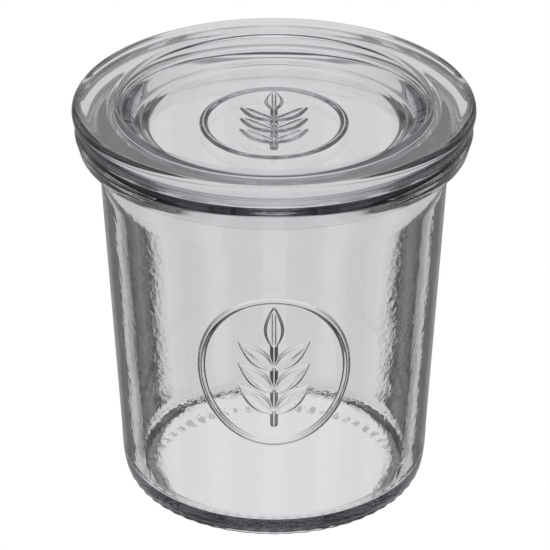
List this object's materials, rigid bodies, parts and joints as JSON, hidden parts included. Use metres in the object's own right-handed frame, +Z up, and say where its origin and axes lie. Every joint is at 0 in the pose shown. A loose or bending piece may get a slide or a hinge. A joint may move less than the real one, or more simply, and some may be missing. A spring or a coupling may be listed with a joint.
{
  "type": "canning jar",
  "caption": "Small clear glass canning jar with a tapered tumbler body, a flanged rim, a knurled heel and a loose recessed glass lid; a leaf medallion is raised on the front and the lid.",
  "frame": {"origin": "centre of the foot, on the plane of its flat bearing ring", "axes": "+Z up along the jar's axis, -Y out of the front that carries the medallion, +X to the right seen from the front"},
  "size_m": [0.0694, 0.0694, 0.072],
  "materials": {
    "jar_glass": "clear fire-polished pressed glass",
    "lid_glass": "clear fire-polished pressed glass"
  },
  "bodies": {
    "root": {"jar": "jar_glass", "lid": "lid_glass"}
  },
  "joints": []
}
